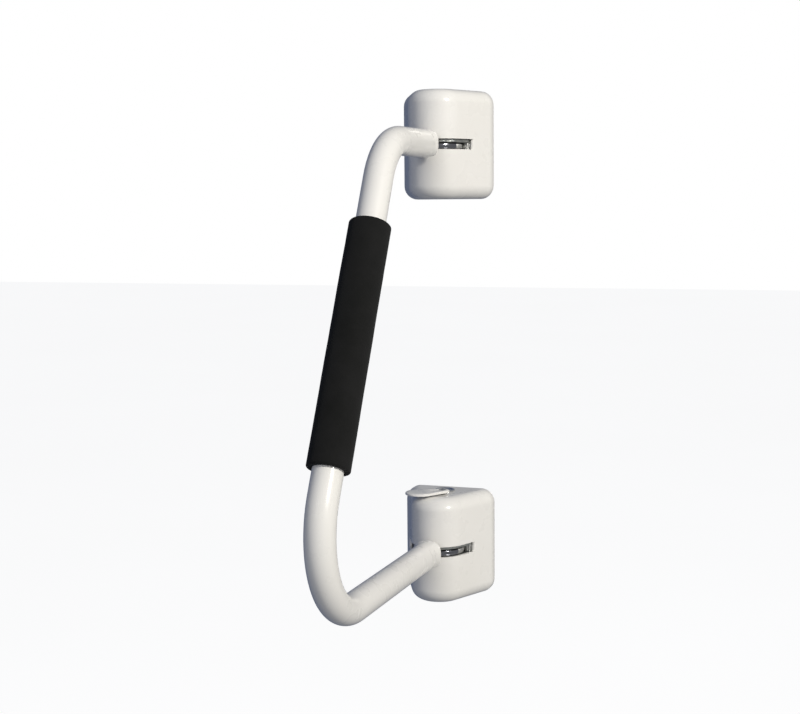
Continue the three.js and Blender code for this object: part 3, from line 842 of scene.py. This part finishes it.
# %% Lock barrel and plug
def make_lock():
    centre = (0.0, LOCK_Y)
    low, top, seat = LOCK_BOX[0][2] / MM, LOCK_TOP / MM, (HALF_HEIGHT / MM + 0.3)
    body = [(6.5, low), (8.5, low), (8.5, seat), (9.5, seat), (9.5, top - 0.5), (9.35, top - 0.15),
            (9.0, top), (7.6, top), (7.3, top - 0.25), (6.8, top - 0.25), (6.5, top - 0.5)]
    barrel = turned_ring("lock_barrel", body, centre, CHROME)
    plug_low, plug_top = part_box("lock_plug")[0][2] / MM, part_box("lock_plug")[1][2] / MM
    core = [(3.1, plug_low), (3.1, plug_low + 3.8), (6.2, plug_low + 3.8), (6.2, plug_top - 0.4),
            (5.8, plug_top), (3.0, plug_top - 0.1)]
    plug = turned("lock_plug_core", core, centre, CHROME)
    outline = [(0.9, -4), (0.9, 4), (-0.9, 4), (-0.9, 1.2), (-0.35, 0.6), (-0.9, 0), (-0.9, -4)]
    key = [(x * MM, LOCK_Y + y * MM) for x, y in outline]
    slot = build("key_slot", *skin([[(x, y, z) for x, y in key] for z in
                                    ((plug_top - 6) * MM, (plug_top + 1) * MM)]), CHROME)
    return barrel, settle(soften(carve(plug, slot), 0.15, 2))


BARREL, PLUG = make_lock()
stands_for(BARREL, "wall_unit", "chrome", "lock_body")
stands_for(PLUG, "lock_plug", "chrome", "lock_plug")


# %% Swivel cover
COVER_LOW, COVER_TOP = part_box("lock_cover")[0][2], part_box("lock_cover")[1][2]
LOBE, BOSS, REACH, OPEN = 13.5 * MM, 6.5 * MM, 23 * MM, math.radians(222)


def drop_outline(inset, z, count=64):
    """The cover's outline: a large arc round the lobe, a small one round the boss."""
    spread_angle = math.acos((LOBE - BOSS) / REACH)
    wide, narrow = math.pi - spread_angle, spread_angle
    outline = []
    for k in range(count + 1):
        angle = -wide + 2 * wide * k / count
        outline.append((REACH + (LOBE - inset) * math.cos(angle), (LOBE - inset) * math.sin(angle)))
    for k in range(count // 2 + 1):
        angle = math.pi - narrow + 2 * narrow * k / (count // 2)
        outline.append(((BOSS - inset) * math.cos(angle), (BOSS - inset) * math.sin(angle)))
    turn = Matrix.Rotation(OPEN, 2)
    placed = [turn @ Vector(point) for point in outline]
    return [(SWIVEL[0] + p.x, SWIVEL[1] + p.y, z) for p in placed]


def make_cover():
    roll = 1.1 * MM
    rings = [drop_outline(0.5 * MM, COVER_LOW), drop_outline(0.12 * MM, COVER_LOW + 0.12 * MM),
             drop_outline(0.0, COVER_LOW + 0.5 * MM)]
    rings += [drop_outline(roll * (1 - math.cos(a)), COVER_TOP - 0.35 * MM - roll * (1 - math.sin(a)))
              for a in [math.pi / 2 * k / 6 for k in range(7)]]
    rings += [drop_outline(2.6 * MM, COVER_TOP - 0.12 * MM), drop_outline(5.2 * MM, COVER_TOP)]
    cover = build("swivel_cover", *skin(rings), POWDER_COAT)
    shade(cover, math.radians(50))
    sink = [(2.3, COVER_LOW / MM - 1), (2.3, COVER_TOP / MM - 1.4), (3.6, COVER_TOP / MM - 1.4),
            (3.6, COVER_TOP / MM + 1)]
    cutter = turned("sink", sink, (SWIVEL[0], SWIVEL[1]), POWDER_COAT, 48)
    return settle(soften(carve(cover, cutter), 0.12, 2, 60), math.radians(50))


stands_for(make_cover(), "lock_cover", "white_paint", "lock_cover")

# %% [markdown]
# ## Screws and rivets that repeat
# The same screw stands at four places, two under each housing, and the same shouldered rivet at both
# ends of each slot. Each is drawn once and stamped on a point for every place by Geometry Nodes, which
# end by making the copies real.

# %% Tree that stamps a piece on points
def stamp_tree():
    tree = bpy.data.node_groups.new("stamp_on_points", "GeometryNodeTree")
    for name, kind in (("Geometry", "NodeSocketGeometry"), ("Piece", "NodeSocketObject"),
                       ("Finish", "NodeSocketMaterial")):
        tree.interface.new_socket(name, in_out="INPUT", socket_type=kind)
    tree.interface.new_socket("Geometry", in_out="OUTPUT", socket_type="NodeSocketGeometry")
    given = node(tree, "NodeGroupInput").outputs
    piece = node(tree, "GeometryNodeObjectInfo", inputs={"Object": given["Piece"]})
    stamped = node(tree, "GeometryNodeInstanceOnPoints", inputs={
        "Points": given["Geometry"], "Instance": piece.outputs["Geometry"]})
    real = node(tree, "GeometryNodeRealizeInstances", inputs={0: stamped.outputs[0]})
    dressed = node(tree, "GeometryNodeSetMaterial", inputs={
        "Geometry": real.outputs[0], "Material": given["Finish"]})
    node(tree, "NodeGroupOutput", inputs={"Geometry": dressed.outputs[0]})
    return tree


STAMP = stamp_tree()


def stamp(name, piece, places, material, angle=SMOOTH_ANGLE):
    """Copies of piece, drawn about the origin, at each place."""
    mesh = bpy.data.meshes.new(name)
    mesh.from_pydata([tuple(place) for place in places], [], [])
    made = bpy.data.objects.new(name, mesh)
    bpy.context.scene.collection.objects.link(made)
    run_tree(made, STAMP, {"Piece": piece, "Finish": material})
    bpy.data.objects.remove(piece)
    return shade(made, angle)


# %% Countersunk screws under the housings
def draw_screw():
    head = [(3.3, 0.1), (3.6, 0.3), (3.55, 0.5), (1.9, 1.95)]
    thread = []
    for k in range(7):
        thread += [(1.9, 2.6 + k), (1.9, 2.85 + k), (1.55, 3.2 + k), (1.55, 3.35 + k)]
    screw = turned("screw", head + thread + [(1.2, 10.2), (0.3, 10.9)], (0, 0), ZINC, 32)
    cross = [(0.42, 1.9), (0.42, 0.42), (1.9, 0.42), (1.9, -0.42), (0.42, -0.42), (0.42, -1.9),
             (-0.42, -1.9), (-0.42, -0.42), (-1.9, -0.42), (-1.9, 0.42), (-0.42, 0.42), (-0.42, 1.9)]
    rings = [[(x * MM * k, y * MM * k, z * MM) for x, y in cross] for z, k in ((-0.4, 1.0), (1.4, 0.6))]
    return carve(screw, build("recess", *skin(rings), ZINC))


SCREW_PLACES = [(x, y, middle - HALF_HEIGHT)
                for which, middle in (("upper", UPPER_Z), ("lower", 0.0)) for x, y in screw_places(which)]
SCREWS = stamp("housing_screws", draw_screw(), SCREW_PLACES, ZINC)
stands_for(SCREWS, "wall_unit", "zinc_steel",
           *[f"{which}_screw_{side}" for which in ("upper", "lower") for side in ("left", "right")])


# %% Knurled rivets at the slot ends
def draw_spacer():
    """A shouldered rivet whose collar has a straight knurl, which shows as fine upright ribs."""
    profile = [(3.0, -9.7, 0), (3.4, -9.4, 0), (3.4, -8.7, 0), (2.2, -8.7, 0), (2.2, -5.1, 0), (4.7, -5.1, 0),
               (5.0, -4.7, 1), (5.0, 0.9, 1), (4.7, 1.3, 0), (2.2, 1.3, 0), (2.2, 4.9, 0), (3.4, 4.9, 0),
               (3.4, 5.6, 0), (3.0, 5.9, 0)]
    ribs, steps, depth = 18, 8, 0.6
    rings = []
    for radius, z, has_ribs in profile:
        ring = []
        for k in range(ribs * steps):
            angle = 2 * math.pi * k / (ribs * steps)
            reach = radius - has_ribs * depth * (0.5 - 0.5 * math.cos(ribs * angle))
            ring.append((reach * MM * math.cos(angle), reach * MM * math.sin(angle), z * MM))
        rings.append(ring)
    return shade(build("spacer", *skin(rings), SATIN))


SPACER_NODES = [f"{which}_spacer_{side}" for which in ("upper", "lower") for side in ("left", "right")]
SPACER_PLACES = []
for name in SPACER_NODES:
    low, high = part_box(name)
    SPACER_PLACES.append(((low[0] + high[0]) / 2, (low[1] + high[1]) / 2, UPPER_Z if "upper" in name else 0.0))
SPACERS = stamp("slot_end_rivets", draw_spacer(), SPACER_PLACES, SATIN, math.radians(50))
stands_for(SPACERS, "wall_unit", "chrome", *SPACER_NODES)

# %% [markdown]
# ## The plainer inner parts
# Brackets, pins, clips, bushes and the bolt work already have their true shape. They only need what a
# press or a lathe leaves: slightly rounded edges and smooth round faces. A copy of each is welded into
# one mesh, its flat faces are merged, its edges are bevelled, and it takes the plain part's place.

# %% Refine the plain parts
def refine(name, material, bevel_mm):
    source = frame["nodes"][name].data.copy()
    work = bmesh.new()
    work.from_mesh(source)
    bmesh.ops.remove_doubles(work, verts=work.verts, dist=1e-6)
    bmesh.ops.dissolve_limit(work, angle_limit=math.radians(1.0), verts=work.verts, edges=work.edges)
    work.to_mesh(source)
    work.free()
    source.materials.clear()
    source.materials.append(material)
    made = bpy.data.objects.new(f"{name}_finished", source)
    bpy.context.scene.collection.objects.link(made)
    return settle(soften(made, bevel_mm, 2, 45))


def refine_all(body, slot, material, bevel_mm, names):
    for name in names:
        stands_for(refine(name, material, bevel_mm), body, slot, name)


BOTH = ("upper", "lower")
refine_all("wall_unit", "zinc_steel", ZINC, 0.25, [f"{w}_bracket" for w in BOTH])
refine_all("wall_unit", "zinc_steel", ZINC, 0.12,
           [f"{w}_pivot_pin" for w in BOTH] + [f"{w}_circlip" for w in BOTH])
refine_all("wall_unit", "zinc_steel", ZINC, 0.1, ["lock_nut", "lock_cover_screw"])
refine_all("wall_unit", "gasket_rubber", RUBBER, 0.15, [f"{w}_gasket" for w in BOTH])
refine_all("handle", "nylon", NYLON, 0.08, [f"{w}_bush_{s}" for w in BOTH for s in ("top", "bottom")])
refine_all("lock_plug", "zinc_steel", ZINC, 0.1, ["lock_cam_sleeve"])
refine_all("lock_bolt", "zinc_steel", ZINC, 0.1, ["lock_bolt", "lock_cross_pin"])

# %% [markdown]
# ## Floor, light and background
# The rail hangs over a plain pale floor in front of white. One warm key light stands low on the right,
# as the sun does in the afternoon, so that the faces turned to it read as warm white and the flanks on
# the far side fall into a cool blue-grey shade. A weak fill from the front lifts the middle tones; it is
# kept out of reflections, so that the tube shows one streak. The sky is dim, which keeps the paint's
# gloss and the chrome from washing out. The floor is only there to be seen: what the object gets from
# below is set by the sky, so that a nearly white floor does not light its undersides.

# %% Floor
FLOOR_DROP = 0.55


def make_floor():
    low = CAD_BOX[0][2] - FLOOR_DROP
    half = 14.0
    floor_material, tree, surface, place = new_material(
        "pale_matt_floor", Roughness=0.9, IOR=1.4,
        Emission_Color=(1.0, 1.0, 1.0, 1.0), Emission_Strength=0.88)
    drift = grain(tree, place, 900.0).outputs[0]
    tree.links.new(between(tree, drift, srgb("#7C7C7C"), srgb("#828282")), surface.inputs["Base Color"])
    corners = [(-half, -half, low), (half, -half, low), (half, half, low), (-half, half, low)]
    floor = build("floor", corners, [(0, 1, 2, 3)], floor_material)
    floor.visible_diffuse = floor.visible_glossy = floor.visible_transmission = False
    return floor


print("floor at", round(make_floor().data.vertices[0].co.z, 3), "m")


# %% Lights and sky
MIDDLE = (CAD_BOX[0] + CAD_BOX[1]) / 2


def area_light(name, azimuth, elevation, distance, size, power, colour):
    """A square lamp that looks at the object. Azimuth is in degrees to the right of straight ahead."""
    turn, rise = math.radians(azimuth), math.radians(elevation)
    way = Vector((math.sin(turn) * math.cos(rise), -math.cos(turn) * math.cos(rise), math.sin(rise)))
    data = bpy.data.lights.new(name, "AREA")
    data.shape, data.size, data.energy = "SQUARE", size, power
    data.color = srgb(colour)[:3]
    light = bpy.data.objects.new(name, data)
    bpy.context.scene.collection.objects.link(light)
    light.location = MIDDLE + way * distance
    light.rotation_euler = (-way).to_track_quat("-Z", "Y").to_euler()
    return light


def make_sky():
    """White to the camera; to the object, a dim grey that turns slate blue on the left."""
    world = bpy.data.worlds.new("studio")
    bpy.context.scene.world = world
    world.use_nodes = True
    tree = world.node_tree
    tree.nodes.clear()
    way = node(tree, "ShaderNodeTexCoord").outputs["Generated"]
    axes = node(tree, "ShaderNodeSeparateXYZ", inputs={0: way})
    side = node(tree, "ShaderNodeMapRange", inputs={
        "Value": axes.outputs[0], "From Min": -0.55, "From Max": 0.25, "To Min": 0.0, "To Max": 1.0})
    tint = between(tree, side.outputs[0], srgb("#45526E"), srgb("#9E9E9E"), 0.0, 1.0)
    lit = node(tree, "ShaderNodeBackground", inputs={"Color": tint, "Strength": 1.0})
    seen = node(tree, "ShaderNodeBackground", inputs={"Color": srgb("#FFFFFF"), "Strength": 1.0})
    is_camera = node(tree, "ShaderNodeLightPath").outputs["Is Camera Ray"]
    mixed = node(tree, "ShaderNodeMixShader", inputs={0: is_camera, 1: lit.outputs[0], 2: seen.outputs[0]})
    node(tree, "ShaderNodeOutputWorld", inputs={0: mixed.outputs[0]})


make_sky()
area_light("key", azimuth=62, elevation=27, distance=3.0, size=0.55, power=70, colour="#FFFCF6")
fill = area_light("front_fill", azimuth=-10, elevation=22, distance=3.0, size=0.9, power=14, colour="#FFFFFF")
fill.visible_glossy = False
bpy.context.scene.view_settings.view_transform = "Standard"
print("lights and sky are set")
